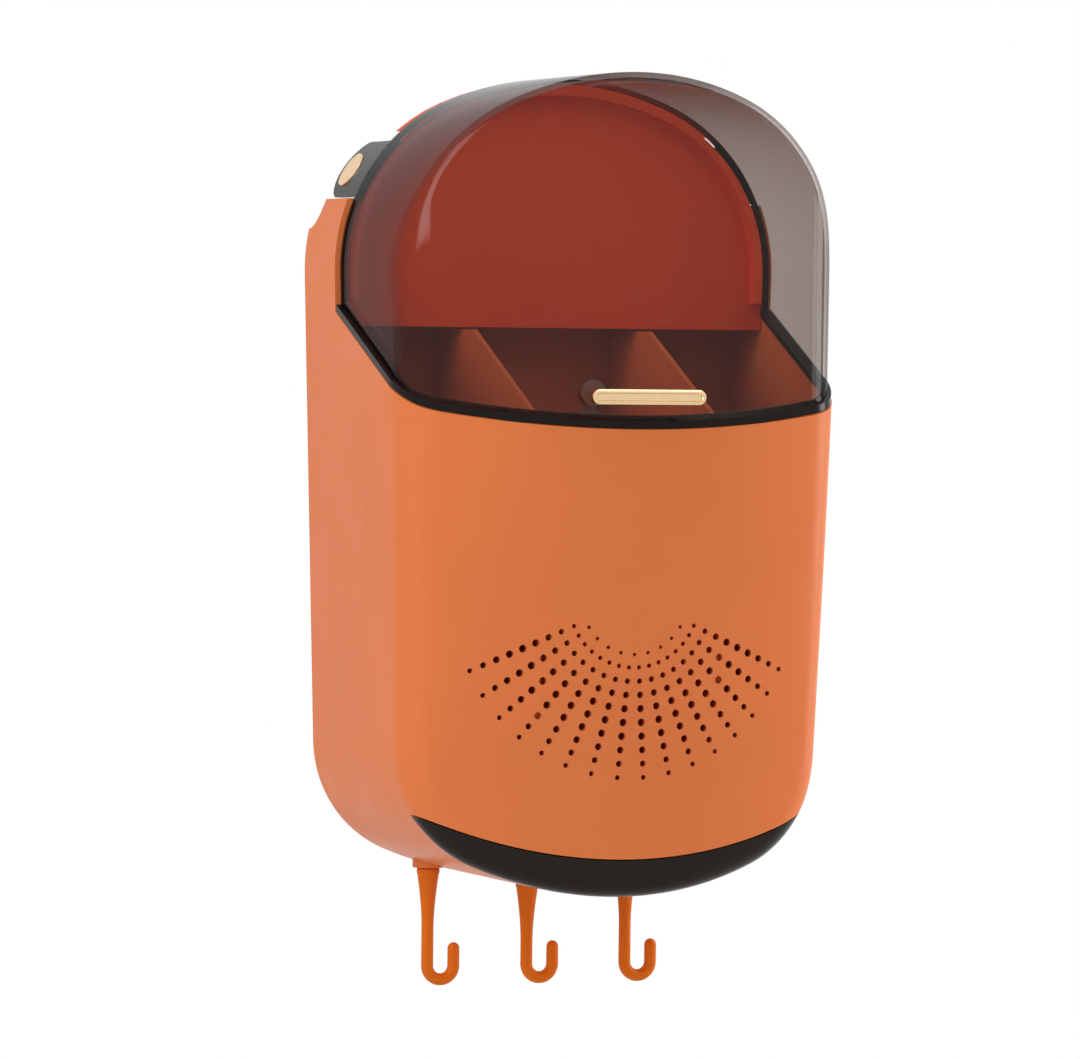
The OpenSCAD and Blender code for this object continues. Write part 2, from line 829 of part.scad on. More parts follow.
module adhesive_pad() {
    color("#9a9a94") difference() {
        rotate([90, 0, 0]) linear_extrude(pad_t) plate_outline(plate_w - 4, plate_h - 4, 6);
        wall_holes();
    }
}

body_shell();
back_panel();
back_panel_screws();
lid();
handle_bar();
handle_screws();
hinge_pin_left();
hinge_pin_right();
pin_cap_left();
pin_cap_right();
hinge_washer_left();
hinge_washer_right();
lid_bumpers();
divider_left();
divider_right();
drain_grid();
drip_tray();
hook_left();
hook_centre();
hook_right();
hook_clip_left();
hook_clip_centre();
hook_clip_right();
wall_plate();
adhesive_pad();
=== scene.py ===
import math

import bmesh
import bpy
from mathutils import Matrix, Vector

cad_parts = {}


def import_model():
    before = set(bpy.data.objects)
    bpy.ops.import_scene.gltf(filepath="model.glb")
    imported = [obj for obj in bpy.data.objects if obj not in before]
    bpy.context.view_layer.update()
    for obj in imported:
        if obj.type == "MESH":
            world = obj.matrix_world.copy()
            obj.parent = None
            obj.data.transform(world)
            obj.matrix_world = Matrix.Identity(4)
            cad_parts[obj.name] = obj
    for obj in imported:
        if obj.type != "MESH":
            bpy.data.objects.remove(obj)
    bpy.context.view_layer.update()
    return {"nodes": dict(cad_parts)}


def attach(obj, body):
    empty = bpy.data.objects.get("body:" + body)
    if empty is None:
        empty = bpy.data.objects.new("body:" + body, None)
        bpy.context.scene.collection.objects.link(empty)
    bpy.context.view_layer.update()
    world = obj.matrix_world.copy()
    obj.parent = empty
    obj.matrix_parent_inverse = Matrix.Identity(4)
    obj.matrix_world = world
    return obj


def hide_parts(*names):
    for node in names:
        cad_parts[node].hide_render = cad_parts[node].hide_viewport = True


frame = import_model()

# Sizes are millimetres: heights count up from the lowest point of the holder, depths forward from its back
BODY_W, BODY_H, BODY_D = 190.0, 330.0, 140.0
FRONT_R, CORNER_R, WALL = 230.0, 25.0, 2.4
FRONT_LEAN, SIDE_DRAFT, STAND_OFF, PLATE_UP = 3.5, 1.7, 5.0, 200.0
ARCH_RISE, ARCH_R, FOOT_RISE, FOOT_R = 80.0, 76.0, 58.0, 50.0
LID_WALL, LID_INSET, LID_RIM, LID_RIM_W = 2.2, 2.0, 2.8, 5.0
LID_BACK_D, RIM_FRONT_H, RIM_SLOPE, RIM_GAP = 40.0, 186.5, 0.45, 0.6
PIVOT_H, PIVOT_D, PIN_R = 290.0, 17.0, 2.5
EAR_R, EAR_T, EAR_GAP, LUG_T, LUG_X, LUG_R = 11.5, 3.0, 0.5, 4.0, 64.0, 8.0
CAP_R, CAP_T = 7.75, 1.6
BAR_L, BAR_H, BAR_T, BAR_REACH, BAR_UP = 48.0, 6.2, 3.6, 11.0, 13.0
POST_PITCH, POST_R, POST_BORE = 34.0, 2.4, 1.52
DIVIDER_X, DIVIDER_T = 38.0, 2.0
TRAY_TIP_X, TRAY_MID_H, TRAY_WALL, TRAY_BACK_D = 82.6, 15.7, 1.8, 28.0
FAN_H, FAN_RAYS, FAN_SWEEP, FAN_RINGS = 120.0, 16, 132.0, 9
FAN_R0, RING_PITCH, INNER_RING_R, INNER_HOLES = 27.8, 5.5, 22.6, 9
HOLE_R_MIN, HOLE_R_MAX = 0.8, 1.6
HOOK_PITCH, HOOK_D, STEM_R, COLLAR_R, COLLAR_L = 43.3, 13.0, 2.5, 4.75, 22.0
BEND_R, HOOK_DROP, TIP_UP, BOSS_DROP, BOSS_R, BOSS_H = 5.7, 44.0, 17.7, 1.6, 6.5, 9.0
STUD_PITCH, STUD_R, HEAD_R, LIFT = 60.0, 3.0, 5.5, 12.0
SEAT_GAP, SLIDE_GAP, FACE_BACK_D = 0.3, 0.5, 98.0
EDGE_FILLET, FOOT_FILLET, EDGE_BAND = 7.0, 9.5, 1.4
SHOULDER_H, DECK_D, EDGE_BACK = 266.0, 11.0, 1.2
RIB_T, RIB_OUT, RIB_FOOT_GAP, RIB_HEAD_GAP = 1.6, 3.0, 6.0, 2.0
MOUTH_BACK, FACE_BACK, MOUTH_GAP = 0.8, 0.6, 0.2
DRILL_IN, DRILL_OUT = 8.0, 4.0
STUD_SLACK, HEAD_SLACK, BORE_SLACK, SHANK_SLACK = 0.2, 0.6, 0.1, 0.06
CAP_SINK, CAP_SLACK = 1.0, 0.15
HOOK_SIDES, TAPER_STEPS, TIP_STEPS = 28, 14, 9
DECK_H = PIVOT_H - EAR_R - EAR_GAP
PANEL_BACK_D = LID_BACK_D - 8.0

# Worked-out centres of the outline's and the plan's arcs, as on the frame
HALF_W = BODY_W / 2
SPRING_H = BODY_H - ARCH_RISE
ARCH_X = HALF_W - ARCH_R
CROWN_R = (ARCH_X**2 + ARCH_RISE**2 - ARCH_R**2) / (2 * (ARCH_RISE - ARCH_R))
CROWN_H = BODY_H - CROWN_R
ARCH_TURN = math.degrees(math.atan2(SPRING_H - CROWN_H, ARCH_X))
DRAFT = math.radians(SIDE_DRAFT)
FOOT_X = ARCH_X + (ARCH_R - FOOT_R + (FOOT_RISE - SPRING_H) * math.sin(DRAFT)) / math.cos(DRAFT)
SOLE_R = (FOOT_X**2 + FOOT_RISE**2 - FOOT_R**2) / (2 * (FOOT_RISE - FOOT_R))
FOOT_TURN = math.degrees(math.atan2(SOLE_R - FOOT_RISE, FOOT_X))
CORNER_X = HALF_W - CORNER_R
BOW_D = BODY_D - FRONT_R
CORNER_D = BOW_D + math.sqrt((FRONT_R - CORNER_R) ** 2 - CORNER_X**2)
CORNER_COS = CORNER_X / (FRONT_R - CORNER_R)
TIP_H = FOOT_RISE - math.sqrt(FOOT_R**2 - (TRAY_TIP_X - FOOT_X) ** 2)
TRAY_ARC_R = (TRAY_TIP_X**2 + (TIP_H - TRAY_MID_H) ** 2) / (2 * (TIP_H - TRAY_MID_H))
TRAY_ARC_H = TRAY_MID_H + TRAY_ARC_R
EAR_ANGLE = math.asin((PIVOT_H - SPRING_H) / (ARCH_R - LID_INSET))
EAR_X = ARCH_X + (ARCH_R - LID_INSET) * math.cos(EAR_ANGLE)
FAR = 400.0


# Geometry helpers
def place(x, d, h):
    """The point in metres at x across, depth d and height h."""
    return Vector((x, -STAND_OFF - d, h - PLATE_UP)) / 1000


def arc(cx, cy, r, start, end, steps):
    """Points along an arc after its first one, with its angles in degrees."""
    turns = [math.radians(start + (end - start) * i / steps) for i in range(1, steps + 1)]
    return [(cx + r * math.cos(a), cy + r * math.sin(a)) for a in turns]


def line(p, q, steps):
    """Points along a straight line after its first one."""
    return [tuple(a + (b - a) * i / steps for a, b in zip(p, q)) for i in range(1, steps + 1)]


def outline(t):
    """Front outline drawn in by t: crown, shoulders, drafted sides, foot corners and sole."""
    right = [(0.0, CROWN_H + CROWN_R - t)]
    right += arc(0, CROWN_H, CROWN_R - t, 90, ARCH_TURN, 14)
    right += arc(ARCH_X, SPRING_H, ARCH_R - t, ARCH_TURN, -SIDE_DRAFT, 30)
    foot = (FOOT_X + (FOOT_R - t) * math.cos(DRAFT), FOOT_RISE - (FOOT_R - t) * math.sin(DRAFT))
    right += line(right[-1], foot, 26)
    right += arc(FOOT_X, FOOT_RISE, FOOT_R - t, -SIDE_DRAFT, -FOOT_TURN, 26)
    right += arc(0, SOLE_R, SOLE_R - t, -FOOT_TURN, -90, 14)
    return right + [(-x, h) for x, h in reversed(right[1:-1])]


def front_d(x, t):
    """Depth of the front drawn in by t, at x across: bowed in the middle and round at the corners."""
    off_middle = abs(x)
    if off_middle <= (FRONT_R - t) * CORNER_COS:
        return BOW_D + math.sqrt((FRONT_R - t) ** 2 - off_middle**2)
    return CORNER_D + math.sqrt(max(0.0, (CORNER_R - t) ** 2 - (off_middle - CORNER_X) ** 2))


def lean_d(h):
    """How far the holder's front stands back at a height."""
    return (RIM_FRONT_H - h) * math.tan(math.radians(FRONT_LEAN))


def rim_h(d):
    """Height of the slanted rim plane at a depth."""
    return RIM_FRONT_H + RIM_SLOPE * (BODY_D - d)


def sole_h(x):
    """Height of the sole at x across."""
    return SOLE_R - math.sqrt(SOLE_R**2 - x**2)


def mesh_object(name, points, faces):
    """An object with a closed mesh, its faces turned outward."""
    mesh = bpy.data.meshes.new(name)
    mesh.from_pydata([tuple(p) for p in points], [], faces)
    work = bmesh.new()
    work.from_mesh(mesh)
    bmesh.ops.recalc_face_normals(work, faces=work.faces)
    work.to_mesh(mesh)
    work.free()
    obj = bpy.data.objects.new(name, mesh)
    bpy.context.scene.collection.objects.link(obj)
    return obj


def skin(name, rings, tip=None):
    """A closed mesh through rings of equal length, with flat ends or with a point at its last end."""
    count = len(rings[0])
    points = [p for ring in rings for p in ring]
    faces = [tuple(reversed(range(count)))]
    for r in range(len(rings) - 1):
        for i in range(count):
            j = (i + 1) % count
            faces.append((r * count + i, r * count + j, (r + 1) * count + j, (r + 1) * count + i))
    last = (len(rings) - 1) * count
    if tip is None:
        faces.append(tuple(range(last, last + count)))
    else:
        points.append(tip)
        faces += [(last + i, last + (i + 1) % count, len(points) - 1) for i in range(count)]
    return mesh_object(name, points, faces)


def forward(name, d0, d1, loop):
    """A prism of an x-height loop between two depths."""
    return skin(name, [[place(x, d, h) for x, h in loop] for d in (d0, d1)])


def across(name, x0, x1, profile):
    """A prism of a depth-height profile between two places across."""
    return skin(name, [[place(x, d, h) for d, h in profile] for x in (x0, x1)])


def block(name, x, d, h):
    """A plain block between pairs of limits."""
    return across(name, x[0], x[1], [(d[0], h[0]), (d[1], h[0]), (d[1], h[1]), (d[0], h[1])])


def rod(name, start, end, r, sides=32):
    """A round rod between two points given as x, depth and height."""
    a, b = place(*start), place(*end)
    turn = (b - a).to_track_quat("Z", "Y")
    steps = [2 * math.pi * i / sides for i in range(sides)]
    ring = [turn @ Vector((math.cos(s), math.sin(s), 0)) * r / 1000 for s in steps]
    return skin(name, [[a + p for p in ring], [b + p for p in ring]])


def edge_fillet(h, t):
    """Radius of the front edge at a height, drawn in by t: crisp at the arch and soft at the foot."""
    share = min(1.0, max(0.0, (RIM_FRONT_H - h) / (RIM_FRONT_H - FOOT_RISE / 2)))
    ease = share * share * (3 - 2 * share)
    return max(1.0, EDGE_FILLET + (FOOT_FILLET - EDGE_FILLET) * ease - t)


def rounded_solid(name, t, lean, back=0.0):
    """Solid inside the outline and the bowed front, drawn in by t, with a rounded front edge."""
    def depth(x, h):
        return front_d(x, t) - (lean_d(h) if lean else 0.0)

    outer, unit = outline(t), outline(t + 1)

    def drawn_in(share):
        """The outline, drawn in further by a share of the fillet at each point."""
        points = []
        for (x, h), (x1, h1) in zip(outer, unit):
            reach = edge_fillet(h, t) * share
            points.append((x + (x1 - x) * reach, h + (h1 - h) * reach, edge_fillet(h, t)))
        return points

    rings = [[place(x, d, h) for x, h in outer] for d in (back, 60)]
    steps = 9
    for k in range(steps + 1):
        turn = math.pi / 2 * k / steps
        loop = drawn_in(1 - math.cos(turn))
        rings.append([place(x, depth(x, h) - r * (1 - math.sin(turn)), h) for x, h, r in loop])
    loop, middle, shrinks = drawn_in(1), BODY_H / 2, 44
    for k in range(1, shrinks):
        scale = 1 - k / shrinks
        shrunk = [(x * scale, middle + (h - middle) * scale) for x, h, _ in loop]
        rings.append([place(x, depth(x, h), h) for x, h in shrunk])
    return skin(name, rings, tip=place(0, depth(0, middle), middle))


def column(name, t, lean):
    """Upright solid with the holder's plan drawn in by t, leaned back towards the foot or not."""
    xs = [(HALF_W - t) * math.sin(math.pi / 2 * i / 60) for i in range(-60, 61)]
    rings = []
    for h in (-60.0, BODY_H + 60):
        back = [place(HALF_W - t, -60, h), place(-HALF_W + t, -60, h)]
        rings.append([place(x, front_d(x, t) - (lean_d(h) if lean else 0), h) for x in xs] + back)
    return skin(name, rings)


def combine(obj, other, operation):
    """Applies a boolean with another solid, which is used up."""
    change = obj.modifiers.new(operation, "BOOLEAN")
    change.operation = operation
    change.solver = "MANIFOLD"
    change.object = other
    depsgraph = bpy.context.evaluated_depsgraph_get()
    mesh = bpy.data.meshes.new_from_object(obj.evaluated_get(depsgraph))
    obj.modifiers.clear()
    obj.data = mesh
    bpy.data.objects.remove(other)
    return obj


def cut(obj, *others):
    """Takes other solids away from one."""
    for other in others:
        combine(obj, other, "DIFFERENCE")
    return obj


def keep(obj, other):
    """Keeps what a solid shares with another."""
    return combine(obj, other, "INTERSECT")


def join(obj, *others):
    """Adds other solids to one."""
    for other in others:
        combine(obj, other, "UNION")
    return obj


def merge(name, objects):
    """One object from several that don't touch."""
    work = bmesh.new()
    for obj in objects:
        work.from_mesh(obj.data)
        bpy.data.objects.remove(obj)
    mesh = bpy.data.meshes.new(name)
    work.to_mesh(mesh)
    work.free()
    whole = bpy.data.objects.new(name, mesh)
    bpy.context.scene.collection.objects.link(whole)
    return whole


def smooth(obj, angle=32):
    """Rounds the shading except at edges sharper than an angle."""
    mesh = obj.data
    mesh.polygons.foreach_set("use_smooth", [True] * len(mesh.polygons))
    mesh.set_sharp_from_angle(angle=math.radians(angle))
    return obj


def finish_piece(obj, body, slot, material, *nodes):
    """Puts a piece on its body with its material, and hides the frame nodes it stands for. Its slot is not
    used.
    """
    smooth(obj)
    obj.data.materials.clear()
    obj.data.materials.append(material)
    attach(obj, body)
    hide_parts(*nodes)
    return obj


# Materials
def new_material(name):
    """A material with its node tree and its main shader."""
    material = bpy.data.materials.new(name)
    material.use_nodes = True
    return material, material.node_tree, material.node_tree.nodes["Principled BSDF"]


def noise(tree, scale, detail=3.0):
    """Noise fixed to the object's own coordinates, in steps per metre."""
    where = tree.nodes.new("ShaderNodeTexCoord")
    texture = tree.nodes.new("ShaderNodeTexNoise")
    texture.inputs["Scale"].default_value = scale
    texture.inputs["Detail"].default_value = detail
    tree.links.new(where.outputs["Object"], texture.inputs["Vector"])
    return texture.outputs["Fac"]


def between(tree, factor, low, high):
    """Maps a factor's middle range to low and high."""
    node = tree.nodes.new("ShaderNodeMapRange")
    node.inputs["From Min"].default_value = 0.3
    node.inputs["From Max"].default_value = 0.7
    node.inputs["To Min"].default_value = low
    node.inputs["To Max"].default_value = high
    tree.links.new(factor, node.inputs["Value"])
    return node.outputs["Result"]


def blend_colours(tree, factor, first, second):
    """A colour between two by a factor."""
    node = tree.nodes.new("ShaderNodeMix")
    node.data_type = "RGBA"
    node.inputs["A"].default_value = (*first, 1)
    node.inputs["B"].default_value = (*second, 1)
    tree.links.new(factor, node.inputs["Factor"])
    return node.outputs["Result"]


def grain(tree, shader, scale, depth):
    """Fine bumps of a moulded or brushed surface, with their depth in metres."""
    bump = tree.nodes.new("ShaderNodeBump")
    bump.inputs["Distance"].default_value = depth
    bump.inputs["Strength"].default_value = 0.5
    tree.links.new(noise(tree, scale, 2.0), bump.inputs["Height"])
    tree.links.new(bump.outputs["Normal"], shader.inputs["Normal"])


def moulded_plastic(name, colour, roughness, tint=0.06, bumps=2600.0, depth=0.00002):
    """Solid plastic with faint clouds in its colour and gloss, and a fine moulded grain."""
    material, tree, shader = new_material(name)
    shader.inputs["Specular IOR Level"].default_value = 0.08
    darker = tuple(c * (1 - tint) for c in colour)
    lighter = tuple(min(1.0, c * (1 + tint)) for c in colour)
    clouds = noise(tree, 18.0)
    tree.links.new(blend_colours(tree, clouds, darker, lighter), shader.inputs["Base Color"])
    gloss = between(tree, noise(tree, 60.0), roughness - 0.04, roughness + 0.05)
    tree.links.new(gloss, shader.inputs["Roughness"])
    grain(tree, shader, bumps, depth)
    return material


def metal(name, colour, roughness):
    """Polished metal with faint brushing."""
    material, tree, shader = new_material(name)
    shader.inputs["Metallic"].default_value = 1.0
    worn = tuple(c * 0.86 for c in colour)
    tree.links.new(blend_colours(tree, noise(tree, 140.0), worn, colour), shader.inputs["Base Color"])
    gloss = between(tree, noise(tree, 700.0), roughness - 0.05, roughness + 0.06)
    tree.links.new(gloss, shader.inputs["Roughness"])
    grain(tree, shader, 1800.0, 0.00001)
    return material


def smoked_clear(name, tint, thick):
    """Clear smoked plastic: a tinted film that darkens where it is seen slantwise, under a mirror gloss."""
    material, tree, gloss = new_material(name)
    gloss.inputs["Metallic"].default_value = 1.0
    gloss.inputs["Roughness"].default_value = 0.03
    gloss.inputs["Base Color"].default_value = (0.93, 0.94, 0.94, 1)
    facing = tree.nodes.new("ShaderNodeLayerWeight")
    facing.inputs["Blend"].default_value = 0.5

    def curve(power, low, high):
        raised = tree.nodes.new("ShaderNodeMath")
        raised.operation = "POWER"
        raised.inputs[1].default_value = power
        tree.links.new(facing.outputs["Facing"], raised.inputs[0])
        spread = tree.nodes.new("ShaderNodeMapRange")
        spread.inputs["To Min"].default_value = low
        spread.inputs["To Max"].default_value = high
        tree.links.new(raised.outputs[0], spread.inputs["Value"])
        return spread.outputs["Result"]

    film = tree.nodes.new("ShaderNodeBsdfTransparent")
    tree.links.new(blend_colours(tree, curve(3.0, 0.0, 1.0), tint, thick), film.inputs["Color"])
    mixed = tree.nodes.new("ShaderNodeMixShader")
    tree.links.new(curve(8.0, 0.012, 0.7), mixed.inputs["Fac"])
    tree.links.new(film.outputs[0], mixed.inputs[1])
    tree.links.new(gloss.outputs[0], mixed.inputs[2])
    tree.links.new(mixed.outputs[0], tree.nodes["Material Output"].inputs["Surface"])
    return material


SHELL = moulded_plastic("orange_plastic", (0.70, 0.185, 0.058), 0.36)
PANEL = moulded_plastic("back_panel_plastic", (0.80, 0.085, 0.022), 0.4)
DIVIDER = moulded_plastic("divider_plastic", (0.68, 0.16, 0.05), 0.4)
HOOK = moulded_plastic("hook_plastic", (0.66, 0.14, 0.008), 0.3)
LID = smoked_clear("smoked_lid_plastic", (0.81, 0.775, 0.755), (0.24, 0.18, 0.165))
LID_EDGE = moulded_plastic("smoked_lid_edge", (0.012, 0.009, 0.008), 0.12)
TRAY = moulded_plastic("smoked_tray_plastic", (0.018, 0.014, 0.012), 0.14)
BRASS = metal("brass", (0.83, 0.60, 0.34), 0.24)
CAP = metal("pale_brass", (0.90, 0.62, 0.38), 0.34)
STEEL = metal("steel", (0.62, 0.62, 0.62), 0.3)
WASHER = moulded_plastic("washer_nylon", (0.03, 0.03, 0.03), 0.5)
BUMPER = moulded_plastic("bumper_rubber", (0.02, 0.02, 0.02), 0.7)
PLATE = moulded_plastic("plate_plastic", (0.80, 0.78, 0.73), 0.45, 0.02)
PAD = moulded_plastic("pad_foam", (0.34, 0.34, 0.32), 0.85, 0.05, 900.0, 0.0002)


# Shell
def hole_r(i):
    """Radius of the holes in a ring: largest in the middle rings."""
    return HOLE_R_MIN + (HOLE_R_MAX - HOLE_R_MIN) * math.sin(math.pi * (i + 0.6) / (FAN_RINGS + 0.6))


def fan_hole(r, angle, hole):
    """A drill for one hole of the fan, through the front wall."""
    a = math.radians(angle)
    x, h = r * math.sin(a), FAN_H - r * math.cos(a)
    d = front_d(x, 0) - lean_d(h)
    return rod("drill", (x, d - DRILL_IN, h), (x, d + DRILL_OUT, h), hole, 14)


def fan():
    """All drills of the fan: full rings, and a short inner ring between the rays."""
    drills = []
    for i in range(FAN_RINGS):
        for k in range(FAN_RAYS):
            angle = -FAN_SWEEP / 2 + k * FAN_SWEEP / (FAN_RAYS - 1)
            drills.append(fan_hole(FAN_R0 + i * RING_PITCH, angle, hole_r(i)))
    for k in range(INNER_HOLES):
        angle = -FAN_SWEEP / 2 + (k + 0.5) * FAN_SWEEP / INNER_HOLES
        drills.append(fan_hole(INNER_RING_R, angle, HOLE_R_MIN))
    return merge("drills", drills)


def crescent(name, gap, d0, d1):
    """Prism below the tray's arc, lowered by gap."""
    r, top = TRAY_ARC_R + gap, TIP_H - gap
    turn = math.degrees(math.acos((TRAY_ARC_H - top) / r))
    loop = [(-FAR / 2, -50.0), (FAR / 2, -50.0), (FAR / 2, top)]
    loop += [(r * math.sin(math.radians(turn)), top)]
    loop += arc(0, TRAY_ARC_H, r, -90 + turn, -90 - turn, 72)
    loop += [(-FAR / 2, top)]
    return forward(name, d0, d1, loop)


def shoulder(t):
    """Hollow curve from the shoulder at the back up to the deck, drawn in by t."""
    turns = [math.radians(90 * i / 16) for i in range(17)]
    rise = DECK_H - SHOULDER_H
    return [(t + DECK_D * math.sin(a), DECK_H - t - rise * math.cos(a)) for a in turns]


def space_above_shell():
    """What lies above the rim, the deck and the shoulder."""
    edge_d = LID_BACK_D - EDGE_BACK
    profile = [(-50.0, SHOULDER_H)] + shoulder(0)
    profile += [(edge_d, DECK_H), (edge_d, rim_h(edge_d)), (FAR, rim_h(FAR)), (FAR, FAR), (-50.0, FAR)]
    return across("above", -FAR, FAR, profile)


def hollow():
    """Inside of the shell, under its shoulder and deck."""
    profile = [(WALL, -50.0)] + shoulder(WALL) + [(PANEL_BACK_D - SEAT_GAP, DECK_H - WALL)]
    profile += [(PANEL_BACK_D - SEAT_GAP, FAR), (FAR, FAR), (FAR, -50.0)]
    return keep(rounded_solid("hollow", WALL, True), across("hollow_side", -FAR, FAR, profile))


def keyhole(x):
    """Cutter for a keyhole in the back wall."""
    r = STUD_R + STUD_SLACK
    neck = rod("neck", (x, -1, PLATE_UP), (x, WALL + 1, PLATE_UP), r)
    head = rod("head", (x, -1, PLATE_UP - LIFT), (x, WALL + 1, PLATE_UP - LIFT), HEAD_R + HEAD_SLACK)
    slot = block("slot", (x - r, x + r), (-1.0, WALL + 1), (PLATE_UP - LIFT, PLATE_UP))
    return join(neck, head, slot)


def hinge_lug(side):
    """Lug on the deck that carries a hinge pin."""
    x0, x1 = sorted((side * LUG_X, side * (LUG_X - LUG_T)))
    foot = block("foot", (x0, x1), (PIVOT_D - LUG_R, PIVOT_D + LUG_R), (DECK_H - WALL / 2, PIVOT_H))
    lug = join(foot, rod("lug", (x0, PIVOT_D, PIVOT_H), (x1, PIVOT_D, PIVOT_H), LUG_R, 48))
    return cut(lug, rod("bore", (x0 - 1, PIVOT_D, PIVOT_H), (x1 + 1, PIVOT_D, PIVOT_H), PIN_R + BORE_SLACK))


def divider_ribs(side):
    """Pair of ribs on the back wall that hold a divider."""
    ribs, half = [], RIB_T / 2
    heights = (TIP_H + RIB_FOOT_GAP, PLATE_UP - LIFT - HEAD_R - RIB_HEAD_GAP)
    for s in (-1, 1):
        x = side * DIVIDER_X + s * (DIVIDER_T / 2 + SEAT_GAP + half)
        ribs.append(block("rib", (x - half, x + half), (WALL - 1, WALL + RIB_OUT), heights))
    return merge("ribs", ribs)


def shell():
    """Orange shell: bowed, arched and open at the top, with the fan, the tray's mouth and the lugs."""
    body = rounded_solid("shell", 0, True)
    cut(body, hollow(), space_above_shell())
    for x in (-HOOK_PITCH, 0, HOOK_PITCH):
        low = sole_h(x) - BOSS_DROP
        join(body, rod("boss", (x, HOOK_D, low), (x, HOOK_D, low + BOSS_H), BOSS_R, 48))
        cut(body, rod("bore", (x, HOOK_D, -10), (x, HOOK_D, 40), STEM_R + SHANK_SLACK))
    mouth = crescent("mouth", 0, FACE_BACK_D, BODY_D + 10)
    cut(mouth, rounded_solid("behind_mouth", WALL + MOUTH_BACK, True))
    cut(mouth, column("deep", FOOT_FILLET + MOUTH_GAP, True))
    cut(body, mouth, fan())
    for side in (-1, 1):
        join(body, hinge_lug(side), divider_ribs(side))
        cut(body, keyhole(side * STUD_PITCH / 2))
    return finish_piece(body, "holder", "shell", SHELL, "body_shell")


# Lid
def rim_slab(up0, up1, back):
    """Slanted slab between two heights above the rim plane, from a depth forward."""
    profile = [(back, rim_h(back) + up0), (FAR, rim_h(FAR) + up0)]
    profile += [(FAR, rim_h(FAR) + up1), (back, rim_h(back) + up1)]
    return across("slab", -FAR, FAR, profile)


def ear(side):
    """Ear that carries the lid to a hinge pin, with the seat of its cap."""
    plate = rounded_solid("ear", LID_INSET, False, -30.0)
    cut(plate, rounded_solid("ear_inside", LID_INSET + EAR_T, False, -40.0))
    x0, x1 = sorted((side * LUG_X, side * HALF_W))
    reach = rod("reach", (x0, PIVOT_D, PIVOT_H), (x1, PIVOT_D, PIVOT_H), EAR_R, 64)
    high = EAR_R - 0.02
    join(reach, block("arm", (x0, x1), (PIVOT_D, LID_BACK_D + 0.5), (PIVOT_H - high, PIVOT_H + high)))
    keep(plate, reach)
    boss = rod("boss", (side * (LUG_X + 1), PIVOT_D, PIVOT_H), (side * HALF_W, PIVOT_D, PIVOT_H), LUG_R - 1)
    keep(boss, rounded_solid("boss_limit", LID_INSET + 0.5, False, -30.0))
    join(plate, boss)
    cut(plate, cap_seat(side, CAP_R + CAP_SLACK, CAP_T - CAP_SINK / 2, 10))
    return plate


def cap_frame(side):
    """Matrix of the ear's cap: its Z points out of the ear."""
    tilt = Matrix.Rotation(side * (math.pi / 2 - EAR_ANGLE), 4, "Y")
    return Matrix.Translation(place(side * EAR_X, PIVOT_D, PIVOT_H)) @ tilt


def lathe(name, frame_matrix, profile, sides=64):
    """Turns a radius-height profile round Z of a frame."""
    turns = [2 * math.pi * i / sides for i in range(sides)]
    rings = []
    for r, z in profile:
        rings.append([frame_matrix @ (Vector((r * math.cos(a), r * math.sin(a), z)) / 1000) for a in turns])
    return skin(name, rings)


def cap_seat(side, r, deep, up):
    """Cutter for the round seat of a cap."""
    return lathe("seat", cap_frame(side), [(r, -deep), (r, up)])


def lid_wall_ring(name, outer, inner):
    """Wall between two offsets of the lid's outline and front."""
    return cut(rounded_solid(name, outer, False), rounded_solid("inside", inner, False, -10.0))


def lid():
    """Smoked lid with its ears, and the dark edge round its opening, flared along the rim."""
    band_d = LID_BACK_D + EDGE_BAND
    cover = lid_wall_ring("lid", LID_INSET, LID_INSET + LID_WALL)
    keep(cover, rim_slab(RIM_GAP + LID_RIM, FAR, band_d))
    finish_piece(cover, "lid", "lid_smoke", LID, "lid")
    rim = lid_wall_ring("lid_rim", 0, LID_RIM_W)
    keep(rim, rim_slab(RIM_GAP, RIM_GAP + LID_RIM, LID_BACK_D))
    finish_piece(rim, "lid", "lid_smoke", LID_EDGE, "lid")
    back = lid_wall_ring("lid_back_edge", LID_INSET, LID_INSET + LID_WALL)
    profile = [(d, rim_h(d) + RIM_GAP + LID_RIM) for d in (LID_BACK_D, band_d)]
    keep(back, across("band", -FAR, FAR, profile + [(band_d, FAR), (LID_BACK_D, FAR)]))
    finish_piece(back, "lid", "lid_smoke", LID_EDGE, "lid")
    for side, word in ((-1, "left"), (1, "right")):
        piece = ear(side)
        piece.name = "lid_ear_" + word
        finish_piece(piece, "lid", "lid_smoke", LID_EDGE, "lid")


def caps():
    """Brass caps: turned discs with a chamfer and a shallow dish."""
    proud = CAP_T - CAP_SINK
    for side, word in ((-1, "left"), (1, "right")):
        profile = [(CAP_R - 0.3, -proud - 0.4), (CAP_R, -proud), (CAP_R, proud - 0.45)]
        profile += [(CAP_R - 0.15, proud - 0.15), (CAP_R - 0.5, proud), (CAP_R - 1.1, proud)]
        profile += [(CAP_R - 1.5, proud - 0.2), (2.0, proud - 0.28), (0.4, proud - 0.3)]
        cap = lathe("pin_cap_piece_" + word, cap_frame(side), profile)
        finish_piece(cap, "lid", "brass", CAP, "pin_cap_" + word)


# Handle
def stadium(inset):
    """Round-ended outline of the bar, drawn in by inset, across and up from its middle."""
    r = BAR_H / 2 - inset
    half = BAR_L / 2 - BAR_H / 2
    return arc(half, 0, r, -90, 90, 16) + [(-half, r)] + arc(-half, 0, r, 90, 270, 16) + [(half, -r)]


